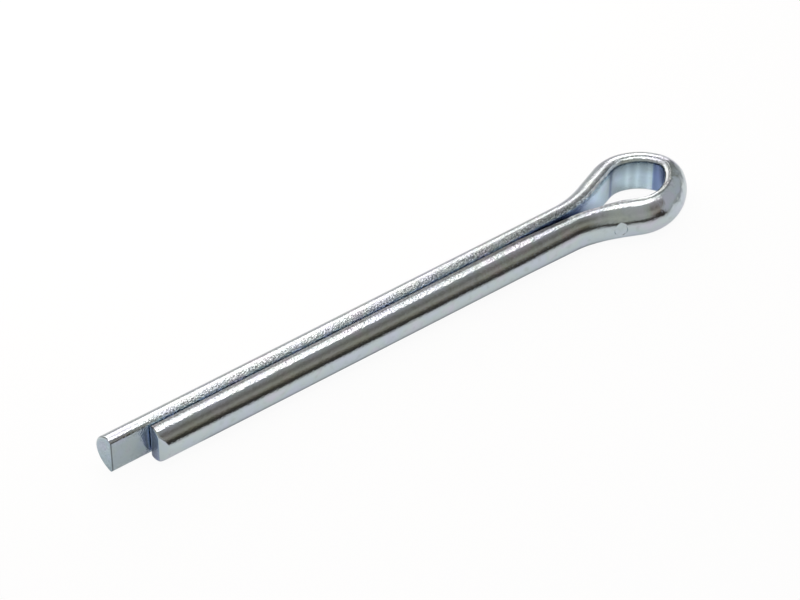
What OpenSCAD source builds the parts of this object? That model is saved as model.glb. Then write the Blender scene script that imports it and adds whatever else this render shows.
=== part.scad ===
// Cotter pin: one length of half-round steel wire, bent back on itself round an eye.
// The two flat sides lie against each other, so that the legs make one round shank.
// The shank's axis is X, with the tips at +X and the start of the neck at the origin.
// The pin lies flat, with the eye's axis along Z. Lengths are in millimetres.

/* [Wire] */
// Diameter of the round shank that the two legs make together
shank_d = 3.7; // [3:0.1:5]
// Radius of the two rolled edges beside the flat side
edge_r = 0.46; // [0.3:0.01:0.55]
// How much thinner the wire is drawn, all round, where it is bent
bend_thinning = 0.01; // [0.005:0.005:0.04]

/* [Legs] */
// Straight length of the longer leg
long_leg = 40.2; // [25:0.1:80]
// Straight length of the shorter leg
short_leg = 36.8; // [22:0.1:78]
// Gap between the two flat sides
leg_gap = 0.06; // [0.02:0.01:0.4]

/* [Neck] */
// Radius of the flat side where a leg bends outwards to the eye
neck_r = 9; // [6:0.1:11]
// Angle between the shank and the straight flanks of the eye
neck_angle = 23; // [20:0.5:26]

/* [Eye] */
// Inside radius of the bend at the end of the longer leg's flank
shoulder_r = 2.1; // [1.2:0.1:3]
// Angle of that bend
shoulder_turn = 42; // [30:1:55]
// Inside radius of the slack wall after the shoulder
wall_r = 3.2; // [2.2:0.1:5]
// Angle of that wall
wall_turn = 32; // [20:1:45]
// Inside radius of the tight bend at the far end of the eye
crown_r = 0.85; // [0.6:0.05:1.6]
// Angle of that bend
crown_turn = 69; // [55:1:80]
// Inside radius of the last bend, which runs into the shorter leg's flank
belly_r = 2.5; // [2:0.1:3.5]
// Straight stretch between one bend of the eye and the next
crease_l = 0.2; // [0.1:0.05:0.6]

/* [Tips] */
// Width of the flat bevel across the shorter leg's end, from the round back inwards
short_bevel_w = 0.65; // [0.2:0.05:1.1]
// Length of that bevel along the leg
short_bevel_l = 0.6; // [0.1:0.05:1]
// Length by which the slanted end of the longer leg is shorter at the flat side
long_slant = 0.3; // [0.05:0.05:0.8]
// Width and length of the broken edge on the longer leg's end
long_bevel = 0.16; // [0.05:0.01:0.3]

/* [Press mark] */
// Length of the oval flat that a jaw left on the shorter leg's flank
press_l = 1.1; // [0.4:0.1:1.2]
// Place of that flat on the flank, from 0 at the eye to 1 at the neck
press_place = 0.92; // [0.05:0.01:0.95]
// Depth of that flat in the round back
press_depth = 0.18; // [0.05:0.01:0.3]

/* [Hidden] */

$fn = 96;

shank_r = shank_d / 2;
half_gap = leg_gap / 2;
// Thickness of the wire from its flat side to its round back
wire_t = shank_r - half_gap;

// Height of the middle of a rolled edge, which touches the flat side and the round back from inside
edge_z = sqrt(pow(shank_r - edge_r, 2) - pow(edge_r + half_gap, 2));

// Direction of the wire after each bend of the eye, as an angle from the longer leg
shoulder_end = neck_angle - shoulder_turn;
wall_end = shoulder_end - wall_turn;
crown_end = wall_end - crown_turn;
belly_end = -180 - neck_angle;
belly_turn = crown_end - belly_end;

// Distance across the shank between the two ends of a bend
function bend_drop(radius, from, to) = radius * (cos(from) - cos(to));

eye_drop = bend_drop(shoulder_r, neck_angle, shoulder_end)
         + bend_drop(wall_r, shoulder_end, wall_end)
         + bend_drop(crown_r, wall_end, crown_end)
         + bend_drop(belly_r, crown_end, belly_end)
         - crease_l * (sin(shoulder_end) + sin(wall_end) + sin(crown_end));
neck_rise = bend_drop(neck_r, 0, neck_angle);
// Both flanks have the length that brings the legs back together
flank_l = (eye_drop - leg_gap - 2 * neck_rise) / (2 * sin(neck_angle));

// Length by which a bend runs on inside the straight wire at its ends
bend_lap = 2 * bend_thinning;
function lap_angle(radius) = bend_lap / radius * 180 / PI;

// How far a cutter runs past the faces that it cuts, as a share of the cut
cutter_reach = 0.1;

// Half of the height at which the press mark runs out of the round back
press_h = sqrt(pow(shank_r, 2) - pow(shank_r - press_depth, 2));
// Radius of the two arcs that make its oval, which is never lower than it is long
press_r = (pow(press_l / 2, 2) + pow(max(press_h, press_l / 2), 2)) / press_l;

// Section of the wire, with its flat side on x = 0 and its round back at positive x.
// The inset makes it smaller all round.
module half_round(inset = 0) {
    back_r = shank_r - inset;
    corner_r = edge_r - inset;
    reach = back_r / (shank_r - edge_r);
    touch = [(edge_r + half_gap) * reach - half_gap, edge_z * reach];
    intersection() {
        translate([-half_gap, 0]) circle(r = back_r);
        translate([touch.x, -shank_r]) square([shank_r, shank_d]);
    }
    polygon([[inset, -edge_z], [touch.x, -touch.y], touch, [inset, edge_z]]);
    for (side = [-1, 1]) translate([edge_r, side * edge_z]) circle(r = corner_r);
}

// The next modules lay the wire along +X from the origin, with its flat side on y = 0 and its
// round back at positive y, and put what follows at the end of what they laid.
module straight(length) {
    rotate([90, 0, 90]) linear_extrude(length) half_round();
    translate([length, 0, 0]) children();
}

module bend_left(radius, angle) {
    lap = lap_angle(radius);
    translate([0, radius, 0]) {
        rotate(-90 - lap) rotate_extrude(angle = angle + 2 * lap)
            translate([radius, 0]) mirror([1, 0]) half_round(bend_thinning);
        rotate(angle) translate([0, -radius, 0]) children();
    }
}

module bend_right(radius, angle) {
    lap = lap_angle(radius);
    translate([0, -radius, 0]) {
        rotate(90 - angle - lap) rotate_extrude(angle = angle + 2 * lap)
            translate([radius, 0]) half_round(bend_thinning);
        rotate(-angle) translate([0, radius, 0]) children();
    }
}

// Ring that bevels the round edge of an end which faces +X
module bevel_ring(width, length) {
    out = cutter_reach;
    translate([0, -half_gap, 0]) rotate([0, 90, 0]) rotate_extrude() polygon([
        [shank_r - width * (1 + out), length * out],
        [shank_r + width * out, -length * (1 + out)],
        [shank_r + width * out, length * out]
    ]);
}

// Wedge that slants an end which faces -X, from the round back to the flat side
module slant_wedge(slant) {
    out = cutter_reach;
    translate([0, 0, -shank_r]) linear_extrude(shank_d) polygon([
        [-slant * out, wire_t * (1 + out)],
        [slant * (1 + out), -wire_t * out],
        [-slant * out, -wire_t * out]
    ]);
}

// Wedge that bevels the round back's side of an end which faces +X
module bevel_wedge(width, length) {
    out = cutter_reach;
    translate([0, 0, -shank_r]) linear_extrude(shank_d) polygon([
        [length * out, wire_t - width * (1 + out)],
        [-length * (1 + out), wire_t + width * out],
        [length * out, wire_t + width * out]
    ]);
}

// Oval punch over the round back, which leaves the press mark round the origin
module press_punch() {
    offset_x = press_r - press_l / 2;
    translate([0, wire_t - press_depth, 0]) rotate([-90, 0, 0])
        linear_extrude(press_depth * (1 + cutter_reach)) intersection() {
            translate([-offset_x, 0]) circle(r = press_r);
            translate([offset_x, 0]) circle(r = press_r);
        }
}

module long_tip(length) {
    difference() {
        straight(length);
        mirror([1, 0, 0]) bevel_ring(long_bevel, long_bevel);
        slant_wedge(long_slant);
    }
    translate([length, 0, 0]) children();
}

module pressed_flank(length) {
    difference() {
        straight(length);
        translate([press_l / 2 + (length - press_l) * press_place, 0, 0]) press_punch();
    }
    translate([length, 0, 0]) children();
}

module short_tip(length) {
    difference() {
        straight(length);
        translate([length, 0, 0]) bevel_wedge(short_bevel_w, short_bevel_l);
    }
}

// The wire from the longer leg's tip round the eye to the shorter leg's tip
module wire() {
    long_tip(long_leg)
    bend_left(neck_r, neck_angle)
    straight(flank_l)
    bend_right(shoulder_r, shoulder_turn)
    straight(crease_l)
    bend_right(wall_r, wall_turn)
    straight(crease_l)
    bend_right(crown_r, crown_turn)
    straight(crease_l)
    bend_right(belly_r, belly_turn)
    pressed_flank(flank_l)
    bend_left(neck_r, neck_angle)
    short_tip(short_leg);
}

module cotter_pin() {
    color("lightsteelblue") translate([long_leg, -half_gap, 0]) rotate(180) wire();
}

cotter_pin();
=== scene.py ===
"""A zinc-plated cotter pin that lies flat on a white table.

The pin is one length of half-round wire. The script lays the path of the wire's flat side bend by
bend, sweeps the half-round section along it and gives the skin a procedural zinc finish.
"""

import math

import bpy
import numpy as np
from mathutils import Matrix, Vector


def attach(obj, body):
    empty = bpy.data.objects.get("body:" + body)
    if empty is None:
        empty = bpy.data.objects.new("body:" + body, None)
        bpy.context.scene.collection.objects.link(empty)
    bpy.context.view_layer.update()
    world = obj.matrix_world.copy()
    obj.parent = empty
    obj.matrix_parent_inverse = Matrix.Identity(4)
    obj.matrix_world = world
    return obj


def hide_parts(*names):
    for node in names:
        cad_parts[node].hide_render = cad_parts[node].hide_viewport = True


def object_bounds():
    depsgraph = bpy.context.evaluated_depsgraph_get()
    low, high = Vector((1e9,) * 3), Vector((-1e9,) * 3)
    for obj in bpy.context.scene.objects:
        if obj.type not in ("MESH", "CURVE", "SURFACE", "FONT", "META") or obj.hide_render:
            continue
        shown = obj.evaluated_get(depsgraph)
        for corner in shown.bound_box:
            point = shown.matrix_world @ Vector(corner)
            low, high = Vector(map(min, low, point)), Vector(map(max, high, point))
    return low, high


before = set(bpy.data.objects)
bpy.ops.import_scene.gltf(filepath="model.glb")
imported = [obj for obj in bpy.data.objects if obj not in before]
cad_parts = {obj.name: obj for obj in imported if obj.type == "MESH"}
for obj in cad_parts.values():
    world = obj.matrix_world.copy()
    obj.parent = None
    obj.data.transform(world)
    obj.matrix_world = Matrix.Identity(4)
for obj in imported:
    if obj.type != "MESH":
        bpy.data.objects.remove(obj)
cad_low, cad_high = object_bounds()

MM = 0.001

# Sizes of the wire, in millimetres and degrees
SHANK_R = 1.85
EDGE_R = 0.46
HALF_GAP = 0.03
LONG_LEG = 40.2
SHORT_LEG = 36.8
NECK_R = 9.0
NECK_ANGLE = 23.0
SHOULDER_R = 2.1
SHOULDER_TURN = 42.0
WALL_R = 3.2
WALL_TURN = 32.0
CROWN_R = 0.85
CROWN_TURN = 69.0
BELLY_R = 2.5
BELLY_TURN = 180.0 + 2 * NECK_ANGLE - SHOULDER_TURN - WALL_TURN - CROWN_TURN
CREASE_L = 0.2

# Length by which the longer leg stands out past the shorter one
LEG_EXTRA = LONG_LEG - SHORT_LEG

# The drawn skin lies this far inside the solid wire, which keeps it within the solid's box
SKIN_INSET = 0.02
# Radius of the skin's round back, and how deep that back lies under the wire's flat side
SKIN_R = SHANK_R - SKIN_INSET
SKIN_T = SKIN_R - HALF_GAP

# How much thinner the shorter leg is pressed, from its flat side, where it leaves the longer one, and
# the lengths round the start of the neck bend and past its end over which that comes and goes
NECK_THINNING = 0.3
THINNING_START = 1.0
THINNING_TAIL = 4.5

# Tips: a flat bevel on the round back of the shorter leg and a slanted end on the longer one, where
# the stations turn from square to slanted over a short length of the leg
SHORT_BEVEL_W = 0.65
SHORT_BEVEL_L = 0.6
LONG_SLANT = 0.3
SLANT_L = 0.6
# Radius of the worn edges round each cut end, and of the one beside the flat side
LONG_ROUND = 0.22
SHORT_ROUND = 0.15
FLAT_ROUND = 0.09

# Oval flat that a jaw left on the shorter leg's flank, and its place from the eye to the neck
PRESS_L = 1.1
PRESS_PLACE = 0.92
PRESS_DEPTH = 0.18
# Width of the mark's sloped rim, and how much the edges of the bevel and the mark are rounded over
PRESS_RIM = 0.1
RIDGE_ROUND = 0.14
# A radius that rounds nothing, but can still be divided by
NO_ROUND = 1e-6

# Spacing of the stations along the wire
LEG_STEP = 0.25
BEND_STEP = 0.07
TIP_STEP = 0.03
CREASE_STEP = CREASE_L / 2
# Number of points on each stretch of the section
FLAT_POINTS = 24
CORNER_POINTS = 18
BACK_POINTS = 64

# How far from the flat side the grain of the rolled edges fades out, on the longer leg and elsewhere,
# and the lengths before that leg's end between which the one turns into the other
LONG_GRAIN_REACH = 0.75
GRAIN_REACH = 0.92
GRAIN_REACH_FROM = 25.0
GRAIN_REACH_TO = 10.0
# Share of that grain which is left in the eye, and where along the shank it starts and ends to fade
EYE_GRAIN = 0.28
EYE_GRAIN_FROM = -4.0
EYE_GRAIN_TO = -7.0
# Share of it on the two cut ends
END_GRAIN = 0.25
# Share of it on the shorter leg
SHORT_GRAIN = 0.65
# Share of it at the longer leg's tip, and the lengths from the tip between which it grows
TIP_GRAIN = 0.2
TIP_GRAIN_FROM = 2.0
TIP_GRAIN_TO = 6.0

# Scuffs on the outside of the eye's end: how far from the rolled edges they come to their full depth,
# how far past the crown they keep it, and how far before the belly's end they are gone
SCUFF_FADE = 0.4
SCUFF_L = 2.0
SCUFF_END = 0.5

# Blue film and painted shade on the flat side, which reach this far round the rolled edges and fade there
FILM_AND_SHADE_REACH = 0.08
FILM_AND_SHADE_FADE = 0.06
# Share of that film and painted shade on the two cut ends
LONG_END_FILM_AND_SHADE = 0.2
SHORT_END_FILM_AND_SHADE = 0.5

# Brightness left on the longer leg's cut end, which is made darker
LONG_END_TONE = 0.78
# Brightness left on the longer leg's flat side past the shorter leg's end, which is made darker
BARE_FLAT_TONE = 0.78
# Brightness left on the darker rim between that flat side and the cut end, and the width of that rim
RIM_TONE = 0.4
RIM_W = 2 * FLAT_ROUND

# Painted shade on the shorter leg's rolled edge in the groove between the legs, which starts and ends
# this far from the flat side
GROOVE_SHADE = 0.78
GROOVE_SHADE_FROM = 0.08
GROOVE_SHADE_TO = 0.58
GROOVE_SHADE_FADE = 0.12

# Painted shade on the rolled edges near the neck, which starts and ends this far from the flat side
EDGE_SHADE_FROM = 0.05
EDGE_SHADE_TO = 0.64
EDGE_SHADE_FADE = 0.15
# Painted shade that deepens up the flat side of the eye's wall, from the wire's middle to near its
# upper edge, and fades out past both ends of the wall
WALL_SHADE = 0.55
WALL_SHADE_TOP = 1.3
WALL_SHADE_DEPTH = 0.06
WALL_SHADE_FADE = 0.6
# Thin painted shade over the rest of that wall, but for three bars of painted highlight across the wire,
# which are at these shares of the way along it
WALL_THIN_SHADE = 0.22
WALL_HIGHLIGHT_BARS = (0.05, 0.45, 0.9)
WALL_HIGHLIGHT_W = 0.2

# Painted highlight along a line on the longer leg's flank, which starts and ends this far from the flat side
EDGE_HIGHLIGHT = 1.6
EDGE_HIGHLIGHT_FROM = 0.05
EDGE_HIGHLIGHT_TO = 0.25
EDGE_HIGHLIGHT_FADE = 0.05


def bend_drop(radius, start, end):
    """Distance across the shank between the two ends of a bend."""
    return radius * (math.cos(math.radians(start)) - math.cos(math.radians(end)))


def flank_length():
    """Length of both flanks of the eye that brings the two legs back together."""
    heading = NECK_ANGLE
    eye_drop = 0.0
    for radius, turn in ((SHOULDER_R, SHOULDER_TURN), (WALL_R, WALL_TURN), (CROWN_R, CROWN_TURN)):
        eye_drop += bend_drop(radius, heading, heading - turn)
        heading -= turn
        eye_drop -= CREASE_L * math.sin(math.radians(heading))
    eye_drop += bend_drop(BELLY_R, heading, heading - BELLY_TURN)
    neck_rise = bend_drop(NECK_R, 0.0, NECK_ANGLE)
    return (eye_drop - 2 * HALF_GAP - 2 * neck_rise) / (2 * math.sin(math.radians(NECK_ANGLE)))


class WirePath:
    """Stations of the wire's flat side: place, heading and length run, laid one after another."""

    def __init__(self):
        self.stations = [(0.0, 0.0, 0.0, 0.0)]

    @property
    def run(self):
        """Length of the wire that is laid so far."""
        return self.stations[-1][3]

    def straight(self, length, step=LEG_STEP):
        """A straight stretch, with its stations no farther apart than the step."""
        x, y, heading, run = self.stations[-1]
        count = math.ceil(length / step)
        for part in np.linspace(0.0, length, count + 1)[1:]:
            self.stations.append(
                (x + part * math.cos(heading), y + part * math.sin(heading), heading, run + part)
            )

    def bend(self, radius, angle):
        """A turn to the left for a positive angle in degrees, else to the right."""
        x, y, heading, run = self.stations[-1]
        turn = math.radians(angle)
        side = math.copysign(radius, turn)
        middle_x = x - side * math.sin(heading)
        middle_y = y + side * math.cos(heading)
        length = radius * abs(turn)
        count = math.ceil(length / BEND_STEP)
        for part in np.linspace(0.0, 1.0, count + 1)[1:]:
            now = heading + turn * part
            self.stations.append((
                middle_x + side * math.sin(now),
                middle_y - side * math.cos(now),
                now,
                run + length * part,
            ))


def lay_wire():
    """The path from the longer leg's tip to the shorter leg's, and the run at the end of its stages."""
    flank = flank_length()
    path = WirePath()
    ends = {}
    path.straight(SLANT_L, TIP_STEP)
    path.straight(LONG_LEG - SLANT_L)
    path.bend(NECK_R, NECK_ANGLE)
    ends["neck"] = path.run
    path.straight(flank)
    ends["flank"] = path.run
    path.bend(SHOULDER_R, -SHOULDER_TURN)
    ends["shoulder"] = path.run
    path.straight(CREASE_L, CREASE_STEP)
    path.bend(WALL_R, -WALL_TURN)
    ends["wall"] = path.run
    path.straight(CREASE_L, CREASE_STEP)
    path.bend(CROWN_R, -CROWN_TURN)
    ends["crown"] = path.run
    path.straight(CREASE_L, CREASE_STEP)
    path.bend(BELLY_R, -BELLY_TURN)
    ends["belly"] = path.run
    path.straight(flank, TIP_STEP)
    ends["pressed flank"] = path.run
    path.bend(NECK_R, NECK_ANGLE)
    ends["second neck"] = path.run
    path.straight(SHORT_LEG - SHORT_BEVEL_L)
    path.straight(SHORT_BEVEL_L, TIP_STEP)
    return np.array(path.stations), ends


def half_round():
    """Ring of points round the section: depth from the flat side, height, and nearness to its corners."""
    edge_z = math.sqrt((SHANK_R - EDGE_R) ** 2 - (EDGE_R + HALF_GAP) ** 2)
    touch = math.atan2(edge_z, EDGE_R + HALF_GAP)
    corner_r = EDGE_R - SKIN_INSET
    flat_z = np.linspace(-edge_z, edge_z, FLAT_POINTS, endpoint=False)
    upper_corner = np.linspace(math.pi, touch, CORNER_POINTS, endpoint=False)
    back = np.linspace(touch, -touch, BACK_POINTS, endpoint=False)
    lower_corner = np.linspace(touch, math.pi, CORNER_POINTS, endpoint=False)
    depth = np.concatenate([
        np.full_like(flat_z, SKIN_INSET),
        EDGE_R + corner_r * np.cos(upper_corner),
        SKIN_R * np.cos(back) - HALF_GAP,
        EDGE_R + corner_r * np.cos(lower_corner),
    ])
    height = np.concatenate([
        flat_z,
        edge_z + corner_r * np.sin(upper_corner),
        SKIN_R * np.sin(back),
        -edge_z - corner_r * np.sin(lower_corner),
    ])
    by_corner = np.clip(1.0 + (np.abs(height) - edge_z) / EDGE_R, 0.0, 1.0)
    return depth, height, by_corner


def girth_of(depth, height):
    """Length round the section at each of its points, and once more back at the first."""
    depth_step = np.diff(depth, append=depth[0])
    height_step = np.diff(height, append=height[0])
    return np.concatenate([[0.0], np.cumsum(np.hypot(depth_step, height_step))])


def blend(value, *stops):
    """The share at a value between the stops, each of which is a place and its share."""
    places, shares = zip(*stops)
    return np.interp(value, places, shares)


def band(value, start, end, fade):
    """Share that is 0 outside of start and end and 1 between them, with a fade inside both."""
    return blend(value, (start, 0.0), (start + fade, 1.0), (end - fade, 1.0), (end, 0.0))


def bevelled(depth, height, reach):
    """The section with every point brought within its reach of the shank's axis."""
    scale = np.minimum(1.0, reach / np.hypot(depth + HALF_GAP, height))
    return np.maximum((depth + HALF_GAP) * scale - HALF_GAP, SKIN_INSET), height * scale


def worn_off(distance, radius):
    """How deep a worn edge of this radius cuts into the section, at a distance from the cut end."""
    part = np.clip(1 - distance / radius, 0, 1)
    return radius * (1 - np.sqrt(1 - part ** 2))


def soft_limit(value, limit, radius):
    """The lower of the value and the limit, with the corner between them rounded over the radius."""
    radius = np.maximum(radius, NO_ROUND)
    share = np.clip(0.5 + (limit - value) / (2 * radius), 0, 1)
    return limit + (value - limit) * share - radius * share * (1 - share)


def in_press_mark(run, height):
    """Share of the press mark's full depth in its oval of two arcs, at a run from the oval's middle."""
    half_l = PRESS_L / 2
    half_h = math.sqrt(SHANK_R ** 2 - (SHANK_R - PRESS_DEPTH) ** 2)
    arc_r = (half_l ** 2 + half_h ** 2) / PRESS_L
    return np.clip((arc_r - np.hypot(np.abs(run) + arc_r - half_l, height)) / PRESS_RIM, 0, 1)


def swept_points(stations, ends):
    """Grid of the pin's points in millimetres, stations by section."""
    x, y, heading, run = (column[:, None] for column in stations.T)
    to_end = run[-1] - run
    ring_depth, ring_height, _ = half_round()

    worn = worn_off(run, LONG_ROUND) + worn_off(to_end, SHORT_ROUND)
    depth, height = bevelled(ring_depth, ring_height, SKIN_R - worn)
    depth = np.maximum(depth, SKIN_INSET + worn_off(np.minimum(run, to_end), FLAT_ROUND))
    slant = LONG_SLANT * np.clip(1 - run / SLANT_L, 0, 1)
    lean = slant * (1 - depth / SKIN_T)

    thinned = blend(
        run,
        (ends["pressed flank"] - THINNING_START, 0.0),
        (ends["pressed flank"] + THINNING_START, NECK_THINNING),
        (ends["second neck"], NECK_THINNING),
        (ends["second neck"] + THINNING_TAIL, 0.0),
    )
    depth = depth + thinned * (1 - depth / SKIN_T)

    bevel = SHORT_BEVEL_W * np.clip(1 - to_end / SHORT_BEVEL_L, 0, 1)
    press_from = ends["belly"] + PRESS_L / 2
    press_to = ends["pressed flank"] - PRESS_L / 2
    press_at = press_from + (press_to - press_from) * PRESS_PLACE
    cut = bevel + PRESS_DEPTH * in_press_mark(run - press_at, height)
    depth = soft_limit(depth, SKIN_T - cut, np.minimum(RIDGE_ROUND, cut / 2))

    wire_x = x + lean - np.sin(heading) * depth
    wire_y = y + np.cos(heading) * depth
    return np.stack([LONG_LEG - wire_x, -HALF_GAP - wire_y, height], axis=2)


# Shares of the finish and of painted light and shade on the skin, by the run along the wire and the depth
# from its flat side


def grain_share(place, run, ends, depth, by_corner):
    """Share of the hammered grain of the rolled edges, which also thins out by place along the shank."""
    reach = blend(
        run,
        (LONG_LEG - GRAIN_REACH_FROM, LONG_GRAIN_REACH),
        (LONG_LEG - GRAIN_REACH_TO, GRAIN_REACH),
    )
    grain = by_corner * np.clip((reach - depth) / (reach - EDGE_R), 0, 1)
    grain = grain * blend(place, (EYE_GRAIN_TO, EYE_GRAIN), (EYE_GRAIN_FROM, 1.0))
    grain = grain * blend(run, (ends["crown"], 1.0), (ends["belly"], SHORT_GRAIN))
    grain = grain * blend(run, (TIP_GRAIN_FROM, TIP_GRAIN), (TIP_GRAIN_TO, 1.0))
    grain[0] = END_GRAIN
    grain[-1] = END_GRAIN
    return grain


def scuff_share(run, ends, depth):
    """Share of the scuffs' full depth, on the round back at the eye's end."""
    scuffed = blend(
        run,
        (ends["wall"], 0.0),
        (ends["crown"], 1.0),
        (ends["crown"] + SCUFF_L, 1.0),
        (ends["belly"] - SCUFF_END, 0.0),
    )
    return scuffed * np.clip((depth - EDGE_R) / SCUFF_FADE, 0, 1)


def film_and_shade_share(run, ends, depth):
    """Share of the blue film, deepened into painted shade where the legs part, in a crease, in the crown and
    on the shorter leg.
    """
    middle_of_flank = (ends["neck"] + ends["flank"]) / 2
    film_and_shade = blend(
        run,
        (LEG_EXTRA - 1.0, 0.03),
        (LEG_EXTRA, 0.1),
        (ends["neck"] - 9.0, 0.1),
        (ends["neck"] - 7.5, 0.7),
        (ends["neck"] - 4.5, 0.7),
        (ends["neck"] - 3.0, 0.52),
        (ends["neck"] - 1.8, 0.4),
        (ends["neck"] - 0.8, 0.26),
        (middle_of_flank, 0.2),
        (ends["flank"] - 0.3, 0.15),
        (ends["flank"], 0.6),
        (ends["flank"] + 0.3, 0.1),
        (ends["wall"], 0.1),
        (ends["wall"] + 0.15, 0.7),
        (ends["crown"], 0.7),
        (ends["crown"] + 0.5, 0.15),
        (ends["belly"], 0.15),
        (ends["pressed flank"], 0.8),
        (ends["second neck"], 0.5),
    )
    film_and_shade = film_and_shade * np.clip((FILM_AND_SHADE_REACH - depth) / FILM_AND_SHADE_FADE, 0, 1)
    film_and_shade[0] = LONG_END_FILM_AND_SHADE
    film_and_shade[-1] = SHORT_END_FILM_AND_SHADE
    return film_and_shade


def painted_edge_shade(run, ends, depth, by_corner):
    """Share of painted shade on the rolled edges, which is deepest where the legs part."""
    edge_shade = blend(
        run,
        (LONG_LEG - 20.0, 0.0),
        (LONG_LEG, 0.7),
        (ends["flank"], 0.65),
        (ends["shoulder"], 0.0),
        (ends["wall"], 0.0),
        (ends["crown"], 0.3),
        (ends["crown"] + 1.5, 0.35),
        (ends["belly"] - 0.5, 0.1),
        (ends["pressed flank"], 0.55),
        (ends["second neck"], 0.5),
        (ends["second neck"] + 14.0, 0.0),
    )
    return edge_shade * by_corner * band(depth, EDGE_SHADE_FROM, EDGE_SHADE_TO, EDGE_SHADE_FADE)


def wall_painted_light(run, ends, depth, height):
    """Brightness left on the eye's wall: painted shade deepens near its upper edge, and thin painted shade
    lies between bars of painted highlight.
    """
    on_wall = band(run, ends["flank"] - WALL_SHADE_FADE, ends["wall"] + WALL_SHADE_FADE, WALL_SHADE_FADE)
    on_wall = on_wall * (depth < WALL_SHADE_DEPTH)
    dusk = on_wall * np.clip(height / WALL_SHADE_TOP, 0, 1)
    highlight_places = ends["shoulder"] + (ends["wall"] - ends["shoulder"]) * np.array(WALL_HIGHLIGHT_BARS)
    highlight_bars = np.exp(-((run - highlight_places) / WALL_HIGHLIGHT_W) ** 2).max(axis=1, keepdims=True)
    thin_shade = on_wall * (1 - highlight_bars)
    return (1 - WALL_SHADE * dusk) * (1 - WALL_THIN_SHADE * thin_shade)


def painted_light_and_tone_share(run, ends, depth, height, by_corner):
    """Brightness share, less than 1 under painted shade and on darker faces, and more on the painted
    highlight of the flank.
    """
    # Painted shade in the groove between the legs
    groove_shade = GROOVE_SHADE * (run > ends["second neck"]) * band(depth, GROOVE_SHADE_FROM, GROOVE_SHADE_TO, GROOVE_SHADE_FADE)
    # Painted shade on the rolled edges near the neck and round the eye's end
    painted_light_and_tone = (1 - groove_shade) * (1 - painted_edge_shade(run, ends, depth, by_corner))
    # Painted shade and bars of painted highlight on the eye's wall
    painted_light_and_tone = painted_light_and_tone * wall_painted_light(run, ends, depth, height)

    # Painted highlight on the rolled edge of the longer leg's flank
    on_corner = band(depth, EDGE_HIGHLIGHT_FROM, EDGE_HIGHLIGHT_TO, EDGE_HIGHLIGHT_FADE)
    on_flank = blend(
        run,
        (LONG_LEG, 0.0),
        (ends["neck"], 1.0),
        (ends["flank"], 1.0),
        (ends["shoulder"], 0.0),
    )
    painted_light_and_tone = painted_light_and_tone + (EDGE_HIGHLIGHT - painted_light_and_tone) * on_corner * on_flank

    on_flat = depth < FILM_AND_SHADE_REACH
    painted_light_and_tone = painted_light_and_tone * np.where((run < LEG_EXTRA) & on_flat, BARE_FLAT_TONE, 1.0)
    painted_light_and_tone = painted_light_and_tone * np.where((run < RIM_W) & on_flat, RIM_TONE, 1.0)
    painted_light_and_tone[0] = LONG_END_TONE
    return painted_light_and_tone


def add_wire_uv(mesh, quads, run, girth):
    """Texture coordinates in millimetres: along the wire and round the section."""
    columns = len(girth) - 1
    corner_vertex = np.empty(len(mesh.loops), dtype=np.int32)
    mesh.loops.foreach_get("vertex_index", corner_vertex)
    uv = np.stack([run[corner_vertex // columns], girth[corner_vertex % columns]], axis=1)
    # The quads that close the section end at its full girth and not back at 0
    closing = np.flatnonzero(quads[:, 0] % columns == columns - 1)
    first_corner = closing * quads.shape[1]
    uv[first_corner + 1, 1] = girth[-1]
    uv[first_corner + 2, 1] = girth[-1]
    mesh.uv_layers.new(name="wire").data.foreach_set("uv", uv.astype(np.float32).ravel())


def build_pin():
    """The pin's skin: quads between the stations and a face on each cut end, with shares of its finish and
    of painted light and shade.
    """
    stations, ends = lay_wire()
    x, _, _, run = (column[:, None] for column in stations.T)
    depth, height, by_corner = half_round()
    points = swept_points(stations, ends) * MM

    rows, columns = points.shape[:2]
    index = np.arange(rows * columns).reshape(rows, columns)
    after = np.roll(index, -1, axis=1)
    quads = np.stack([index[:-1], after[:-1], after[1:], index[1:]], axis=2).reshape(-1, 4)
    cut_ends = [index[0][::-1].tolist(), index[-1].tolist()]

    mesh = bpy.data.meshes.new("pin_skin")
    mesh.from_pydata(points.reshape(-1, 3).tolist(), [], quads.tolist() + cut_ends)
    smooth = np.ones(len(mesh.polygons), dtype=bool)
    smooth[-len(cut_ends):] = False
    mesh.polygons.foreach_set("use_smooth", smooth)
    add_wire_uv(mesh, quads, run[:, 0], girth_of(depth, height))

    shares = {
        "grain": grain_share(LONG_LEG - x, run, ends, depth, by_corner),
        "scuffed": scuff_share(run, ends, depth),
        "film_and_shade": film_and_shade_share(run, ends, depth),
        "painted_light_and_tone": painted_light_and_tone_share(run, ends, depth, height, by_corner),
    }
    for name, share in shares.items():
        attribute = mesh.attributes.new(name, "FLOAT", "POINT")
        attribute.data.foreach_set("value", share.astype(np.float32).ravel())
    mesh.update()
    pin = bpy.data.objects.new("pin_skin", mesh)
    bpy.context.scene.collection.objects.link(pin)
    return pin


# Places of a mix node's two colours among its inputs, and of the mixed colour among its outputs
FIRST_COLOR = 6
SECOND_COLOR = 7
MIXED_COLOR = 2


def add_node(tree, kind, inputs=None, **settings):
    """A new shader node. An input given as a socket is linked, any other value is set on it."""
    node = tree.nodes.new("ShaderNode" + kind)
    for name, value in settings.items():
        setattr(node, name, value)
    for name, value in (inputs or {}).items():
        if isinstance(value, bpy.types.NodeSocket):
            tree.links.new(value, node.inputs[name])
        else:
            node.inputs[name].default_value = value
    return node


def math_node(tree, operation, *values):
    """The result of an operation on values that are numbers or sockets."""
    return add_node(tree, "Math", dict(enumerate(values)), operation=operation).outputs[0]


def multiply_vectors(tree, first, second):
    """The product of two vectors or colours, part by part."""
    return add_node(tree, "VectorMath", {0: first, 1: second}, operation="MULTIPLY").outputs[0]


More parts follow.
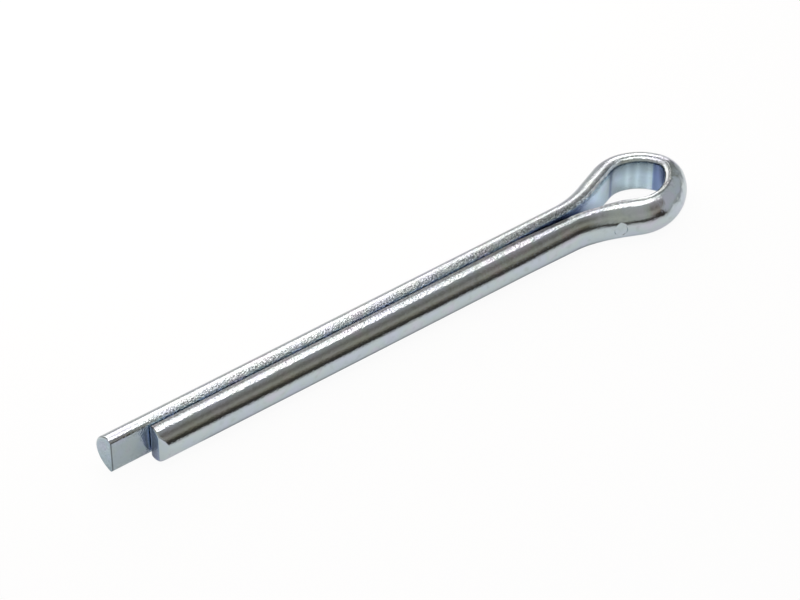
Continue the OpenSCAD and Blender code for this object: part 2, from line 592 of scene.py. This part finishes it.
def map_range(tree, value, start, end, low=0.0, high=1.0, curve="LINEAR"):
    """Goes from low to high while the value goes from start to end."""
    return add_node(tree, "MapRange", {
        "Value": value, "From Min": start, "From Max": end, "To Min": low, "To Max": high,
    }, interpolation_type=curve).outputs[0]


def noise(tree, place, settings):
    """A noise from 0 to 1 over the place, with the scale and detail in its settings."""
    return add_node(tree, "TexNoise", {"Vector": place, **settings}).outputs["Fac"]


def ramp(tree, factor, stops):
    """The colour at a factor between the stops, each of which is a position and a colour."""
    node = add_node(tree, "ValToRGB", {"Fac": factor})
    elements = node.color_ramp.elements
    while len(elements) < len(stops):
        elements.new(1.0)
    for element, (position, color) in zip(elements, stops):
        element.position = position
        element.color = (*color, 1.0)
    return node.outputs["Color"]


def mix_colors(tree, share, first, second):
    """The first colour where the share is 0 and the second where it is 1."""
    inputs = {"Factor": share, FIRST_COLOR: first, SECOND_COLOR: second}
    return add_node(tree, "Mix", inputs, data_type="RGBA").outputs[MIXED_COLOR]


# Blue-white of the zinc, which changes a little from patch to patch
ZINC_TINTS = (
    (0.35, (0.56, 0.61, 0.70)),
    (0.48, (0.54, 0.62, 0.66)),
    (0.55, (0.55, 0.63, 0.64)),
    (0.66, (0.59, 0.61, 0.68)),
)
PATCHES = {"Scale": 0.45 / MM, "Detail": 2.0}
# What the blue film and painted shade leave of that colour, from none to the navy of full painted shade
FILM_AND_SHADE_TINTS = (
    (0.0, (1.0, 1.0, 1.0)),
    (0.2, (0.82, 0.92, 1.0)),
    (0.5, (0.45, 0.52, 0.75)),
    (1.0, (0.12, 0.15, 0.34)),
)
# Faint stains: the range of the noise in which they come up, and the brightness that they leave
STAINS = {"Scale": 1.8 / MM, "Detail": 2.0}
STAIN_FROM = 0.55
STAIN_TO = 0.75
STAIN_SHADE = 0.9
# Drawn streaks: how many there are in a millimetre along the wire and round it, and their depth
STREAKS_PER_MM = (0.12, 5.0, 1.0)
STREAKS = {"Scale": 1.0, "Detail": 3.0}
STREAK_DEPTH = 0.002 * MM
# Dents: their full depth where the metal is scuffed, and the share of it elsewhere
DENTS = {"Scale": 1.2 / MM, "Detail": 1.5}
DENT_DEPTH = 0.12 * MM
PLAIN_DENTS = 0.08
# Hammered grain: its full depth, and the share of it on plain metal
GRAIN = {"Scale": 7.0 / MM, "Detail": 2.0, "Roughness": 0.6}
GRAIN_DEPTH = 0.11 * MM
PLAIN_GRAIN = 0.1
# How much darker the metal is in the pits of that grain, how much lighter between them, and the range
# of the noise from the one to the other
PIT_DIRT = -0.45
PIT_SHINE = 0.38
PIT_FROM = 0.38
PIT_TO = 0.6
# Roughness of the smoothest metal, and what the streaks and the grain add to it
ROUGHNESS = 0.03
STREAK_ROUGHNESS = 0.06
GRAIN_ROUGHNESS = 0.04


def zinc():
    """Bright blue-white zinc: streaks along the wire, dents, a hammered grain, blue film with painted shade,
    painted highlights and darker parts.
    """
    material = bpy.data.materials.new("zinc plating")
    material.use_nodes = True
    tree = material.node_tree
    shader = tree.nodes["Principled BSDF"]
    wire = add_node(tree, "UVMap", uv_map="wire").outputs["UV"]
    place = add_node(tree, "TexCoord").outputs["Object"]
    # The film share also carries painted shade in creases and between the legs, and the share after it
    # carries painted shade, painted highlights and darker faces
    grainy, scuffed, film_and_shade, painted_light_and_tone = (
        add_node(tree, "Attribute", attribute_name=name).outputs["Fac"]
        for name in ("grain", "scuffed", "film_and_shade", "painted_light_and_tone")
    )
    streaks = noise(tree, multiply_vectors(tree, wire, STREAKS_PER_MM), STREAKS)
    grain = noise(tree, place, GRAIN)

    tint = ramp(tree, noise(tree, place, PATCHES), ZINC_TINTS)
    stain = map_range(tree, noise(tree, place, STAINS), STAIN_FROM, STAIN_TO, 1.0, STAIN_SHADE)
    pits = map_range(tree, grain, PIT_FROM, PIT_TO, PIT_DIRT, PIT_SHINE)
    pitted = math_node(tree, "MULTIPLY_ADD", pits, grainy, 1.0)
    # Stains, the grain's pits and the painted shade and highlights set the metal's brightness
    worn = math_node(tree, "MULTIPLY", math_node(tree, "MULTIPLY", stain, painted_light_and_tone), pitted)
    metal = multiply_vectors(tree, tint, worn)
    # A full film share turns the metal navy, the painted shade of the creases and of the space between the
    # legs
    color = multiply_vectors(tree, metal, ramp(tree, film_and_shade, FILM_AND_SHADE_TINTS))
    tree.links.new(color, shader.inputs["Base Color"])
    shader.inputs["Metallic"].default_value = 1.0

    streaky = math_node(tree, "MULTIPLY_ADD", streaks, STREAK_ROUGHNESS, ROUGHNESS)
    rough = math_node(tree, "MULTIPLY_ADD", grainy, GRAIN_ROUGHNESS, streaky)
    tree.links.new(rough, shader.inputs["Roughness"])

    drawn = add_node(tree, "Bump", {"Height": streaks, "Distance": STREAK_DEPTH})
    dented = add_node(tree, "Bump", {
        "Height": noise(tree, place, DENTS),
        "Strength": math_node(tree, "MULTIPLY_ADD", scuffed, 1 - PLAIN_DENTS, PLAIN_DENTS),
        "Distance": DENT_DEPTH,
        "Normal": drawn.outputs["Normal"],
    })
    hammered = add_node(tree, "Bump", {
        "Height": grain,
        "Strength": math_node(tree, "MULTIPLY_ADD", grainy, 1 - PLAIN_GRAIN, PLAIN_GRAIN),
        "Distance": GRAIN_DEPTH,
        "Normal": dented.outputs["Normal"],
    })
    tree.links.new(hammered.outputs["Normal"], shader.inputs["Normal"])
    return material


# Camera: where it aims, its angle and distance from there, and its lens in millimetres
AIM = Vector((14.22, -1.015, 0.0)) * MM
AZIMUTH = math.radians(145.5)
ELEVATION = math.radians(47.5)
DISTANCE = 288.5 * MM
LENS = 175.1
SENSOR_W = 36.0
NEAREST = 0.01
FARTHEST = 20.0


def add_camera():
    """The camera, above the shorter leg's side and aimed at the middle of the pin."""
    data = bpy.data.cameras.new("camera")
    data.lens = LENS
    data.sensor_width = SENSOR_W
    data.clip_start = NEAREST
    data.clip_end = FARTHEST
    camera = bpy.data.objects.new("camera", data)
    bpy.context.scene.collection.objects.link(camera)
    back = Vector((
        math.sin(AZIMUTH) * math.cos(ELEVATION),
        -math.cos(AZIMUTH) * math.cos(ELEVATION),
        math.sin(ELEVATION),
    ))
    camera.location = AIM + back * DISTANCE
    camera.rotation_euler = back.to_track_quat("Z", "Y").to_euler()
    bpy.context.scene.camera = camera


# Warm white of the lamps
LAMP_COLOR = (1.0, 0.9, 0.86)
# Each lamp's name, its middle, length and width in metres, and its radiance
LAMPS = (
    ("overhead lamp", (-0.01, 0.057, 0.30), 0.25, 0.085, 3.5),
    ("back lamp", (0.013, -0.057, 0.0227), 0.064, 0.045, 2.5),
    ("upper back lamp", (0.019, -0.02, 0.056), 0.062, 0.052, 1.2),
    ("side lamp", (-0.125, -0.175, 0.085), 0.07, 0.2, 2.4),
    ("ring lamp", (-0.05, -0.057, 0.011), 0.046, 0.02, 2.2),
)


def add_panel(name, middle, length, width, radiance):
    """A soft lamp with its length along the shank, which faces the pin and is hidden from the camera."""
    data = bpy.data.lights.new(name, "AREA")
    data.shape = "RECTANGLE"
    data.size = length
    data.size_y = width
    data.energy = radiance * math.pi * length * width
    data.color = LAMP_COLOR
    lamp = bpy.data.objects.new(name, data)
    bpy.context.scene.collection.objects.link(lamp)
    facing = (Vector(middle) - AIM).normalized()
    along = (Vector((1, 0, 0)) - facing * facing.x).normalized()
    turn = Matrix((along, facing.cross(along), facing)).transposed()
    lamp.matrix_world = Matrix.Translation(middle) @ turn.to_4x4()
    lamp.visible_camera = False


# White sheet under the pin: half its width in metres, its colour, and how white the camera sees it
SHEET_REACH = 3.0
PAPER = (0.9, 0.9, 0.9, 1.0)
WHITE = (1.0, 1.0, 1.0, 1.0)
CAMERA_GLOW = 0.94
# Glow of the sheet as the metal shows it near the pin: its colour and its share outside of the eye
GLOW = (0.94, 0.99, 1.03, 1.0)
STRIP_GLOW = 0.36
# Dark room that the metal shows farther off. Each pair is where a change starts and where it is
# complete, in millimetres along the shank or across it.
FAR_DARK = (0.06, 0.055, 0.05, 1.0)
FRONT_FADE = (5.0, 18.0)
# In front of the eye the sheet stays pale, past a line that slants away from the shank
EYE_FADE = (-12.0, -4.0)
EYE_FADE_SLOPE = 0.6
# Behind the pin and past the eye it darkens less
BACK_FADE = (-3.0, -12.0)
END_FADE = (-16.0, -28.0)
BACK_DARKNESS = 0.6
# Shadow under the legs: its colour, its width to either side of the shank's axis, and its two ends
SHADOW = (0.36, 0.42, 0.47, 1.0)
SHADOW_SIDES = (2.2, 1.0)
SHADOW_START = (-5.0, -3.0)
SHADOW_END = (34.0, 32.0)
# Full glow inside the eye: its middle, its length to either side of that, and its two sides
POOL_MIDDLE = -7.2
POOL_ENDS = (2.4, 1.2)
POOL_FRONT = (2.5, 1.5)
POOL_BACK = (-1.4, -0.6)


def sheet_material():
    """White paper, which the metal shows as a bright strip that ends a little way off."""
    material = bpy.data.materials.new("white sheet")
    material.use_nodes = True
    tree = material.node_tree
    tree.nodes.clear()

    def change(value, start, end):
        """Rises smoothly from 0 to 1 while the value goes from start to end, in millimetres."""
        return map_range(tree, value, start * MM, end * MM, curve="SMOOTHSTEP")

    def product(first, second):
        return math_node(tree, "MULTIPLY", first, second)

    place = add_node(tree, "NewGeometry").outputs["Position"]
    along, across, _ = add_node(tree, "SeparateXYZ", {0: place}).outputs
    light = add_node(tree, "LightPath").outputs
    by_camera = light["Is Camera Ray"]
    by_metal = light["Is Glossy Ray"]

    slanted = math_node(tree, "MULTIPLY_ADD", across, EYE_FADE_SLOPE, along)
    front_end = product(change(across, *FRONT_FADE), change(slanted, *EYE_FADE))
    back_end = product(change(across, *BACK_FADE), BACK_DARKNESS)
    eye_end = product(change(along, *END_FADE), BACK_DARKNESS)
    far = math_node(tree, "MAXIMUM", front_end, math_node(tree, "MAXIMUM", back_end, eye_end))
    far = product(far, by_metal)

    off_axis = math_node(tree, "ABSOLUTE", across)
    shadow_length = product(change(along, *SHADOW_START), change(along, *SHADOW_END))
    under = product(change(off_axis, *SHADOW_SIDES), shadow_length)
    under = product(under, by_metal)

    off_middle = math_node(tree, "ABSOLUTE", math_node(tree, "SUBTRACT", along, POOL_MIDDLE * MM))
    pool_width = product(change(across, *POOL_FRONT), change(across, *POOL_BACK))
    pool = product(change(off_middle, *POOL_ENDS), pool_width)

    paper = mix_colors(tree, far, PAPER, FAR_DARK)
    shaded = mix_colors(tree, under, paper, SHADOW)
    matt = add_node(tree, "BsdfDiffuse", {"Color": shaded})
    glow_color = mix_colors(tree, by_camera, GLOW, WHITE)
    glowing = add_node(tree, "Emission", {"Color": glow_color, "Strength": 1.0})

    near = math_node(tree, "SUBTRACT", math_node(tree, "SUBTRACT", by_metal, far), under)
    near = math_node(tree, "MAXIMUM", near, 0.0)
    glow = math_node(tree, "MULTIPLY_ADD", pool, 1 - STRIP_GLOW, STRIP_GLOW)
    share = math_node(tree, "MULTIPLY_ADD", near, glow, product(by_camera, CAMERA_GLOW))
    sheet = add_node(tree, "MixShader", {0: share, 1: matt.outputs[0], 2: glowing.outputs[0]})
    add_node(tree, "OutputMaterial", {"Surface": sheet.outputs[0]})
    return material


def add_floor():
    """The white sheet that the pin lies on."""
    mesh = bpy.data.meshes.new("sheet")
    corners = [
        (-SHEET_REACH, -SHEET_REACH, 0),
        (SHEET_REACH, -SHEET_REACH, 0),
        (SHEET_REACH, SHEET_REACH, 0),
        (-SHEET_REACH, SHEET_REACH, 0),
    ]
    mesh.from_pydata(corners, [], [(0, 1, 2, 3)])
    mesh.materials.append(sheet_material())
    floor = bpy.data.objects.new("sheet", mesh)
    floor.location.z = cad_low.z
    bpy.context.scene.collection.objects.link(floor)


# Colour of the room by the height of the direction, from 0 at the horizon to 1 straight up
ROOM = (
    (0.04, (0.05, 0.045, 0.035)),
    (0.12, (0.10, 0.085, 0.065)),
    (0.22, (0.22, 0.185, 0.14)),
    (0.36, (0.38, 0.345, 0.285)),
    (0.62, (0.18, 0.16, 0.135)),
    (0.80, (0.35, 0.33, 0.31)),
    (1.00, (0.55, 0.55, 0.55)),
)
# Sides of the room that mix into it: the axis of the direction, where on it the side starts and is
# complete, its share and its colour. They are a pale wall past the tips, a window past the eye and a
# dim wall behind the pin.
ROOM_SIDES = (
    ("X", -0.3, 0.12, 0.8, (0.52, 0.50, 0.45, 1.0)),
    ("X", -0.42, -0.55, 1.0, (0.52, 0.52, 0.54, 1.0)),
    ("Y", 0.0, -0.4, 1.0, (0.26, 0.25, 0.23, 1.0)),
)


def add_world():
    """A room that is dark and warm near the horizon and paler overhead, with sides of other colours."""
    world = bpy.data.worlds.new("room")
    bpy.context.scene.world = world
    world.use_nodes = True
    tree = world.node_tree
    direction = add_node(tree, "TexCoord").outputs["Generated"]
    toward = add_node(tree, "SeparateXYZ", {0: direction}).outputs
    color = ramp(tree, toward["Z"], ROOM)
    for axis, start, end, most, side_color in ROOM_SIDES:
        share = map_range(tree, toward[axis], start, end, high=most, curve="SMOOTHSTEP")
        color = mix_colors(tree, share, color, side_color)
    tree.links.new(color, tree.nodes["Background"].inputs["Color"])


pin = build_pin()
pin.data.materials.append(zinc())
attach(pin, "root")
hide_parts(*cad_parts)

add_floor()
add_world()
for lamp in LAMPS:
    add_panel(*lamp)
add_camera()
bpy.context.scene.view_settings.view_transform = "Standard"
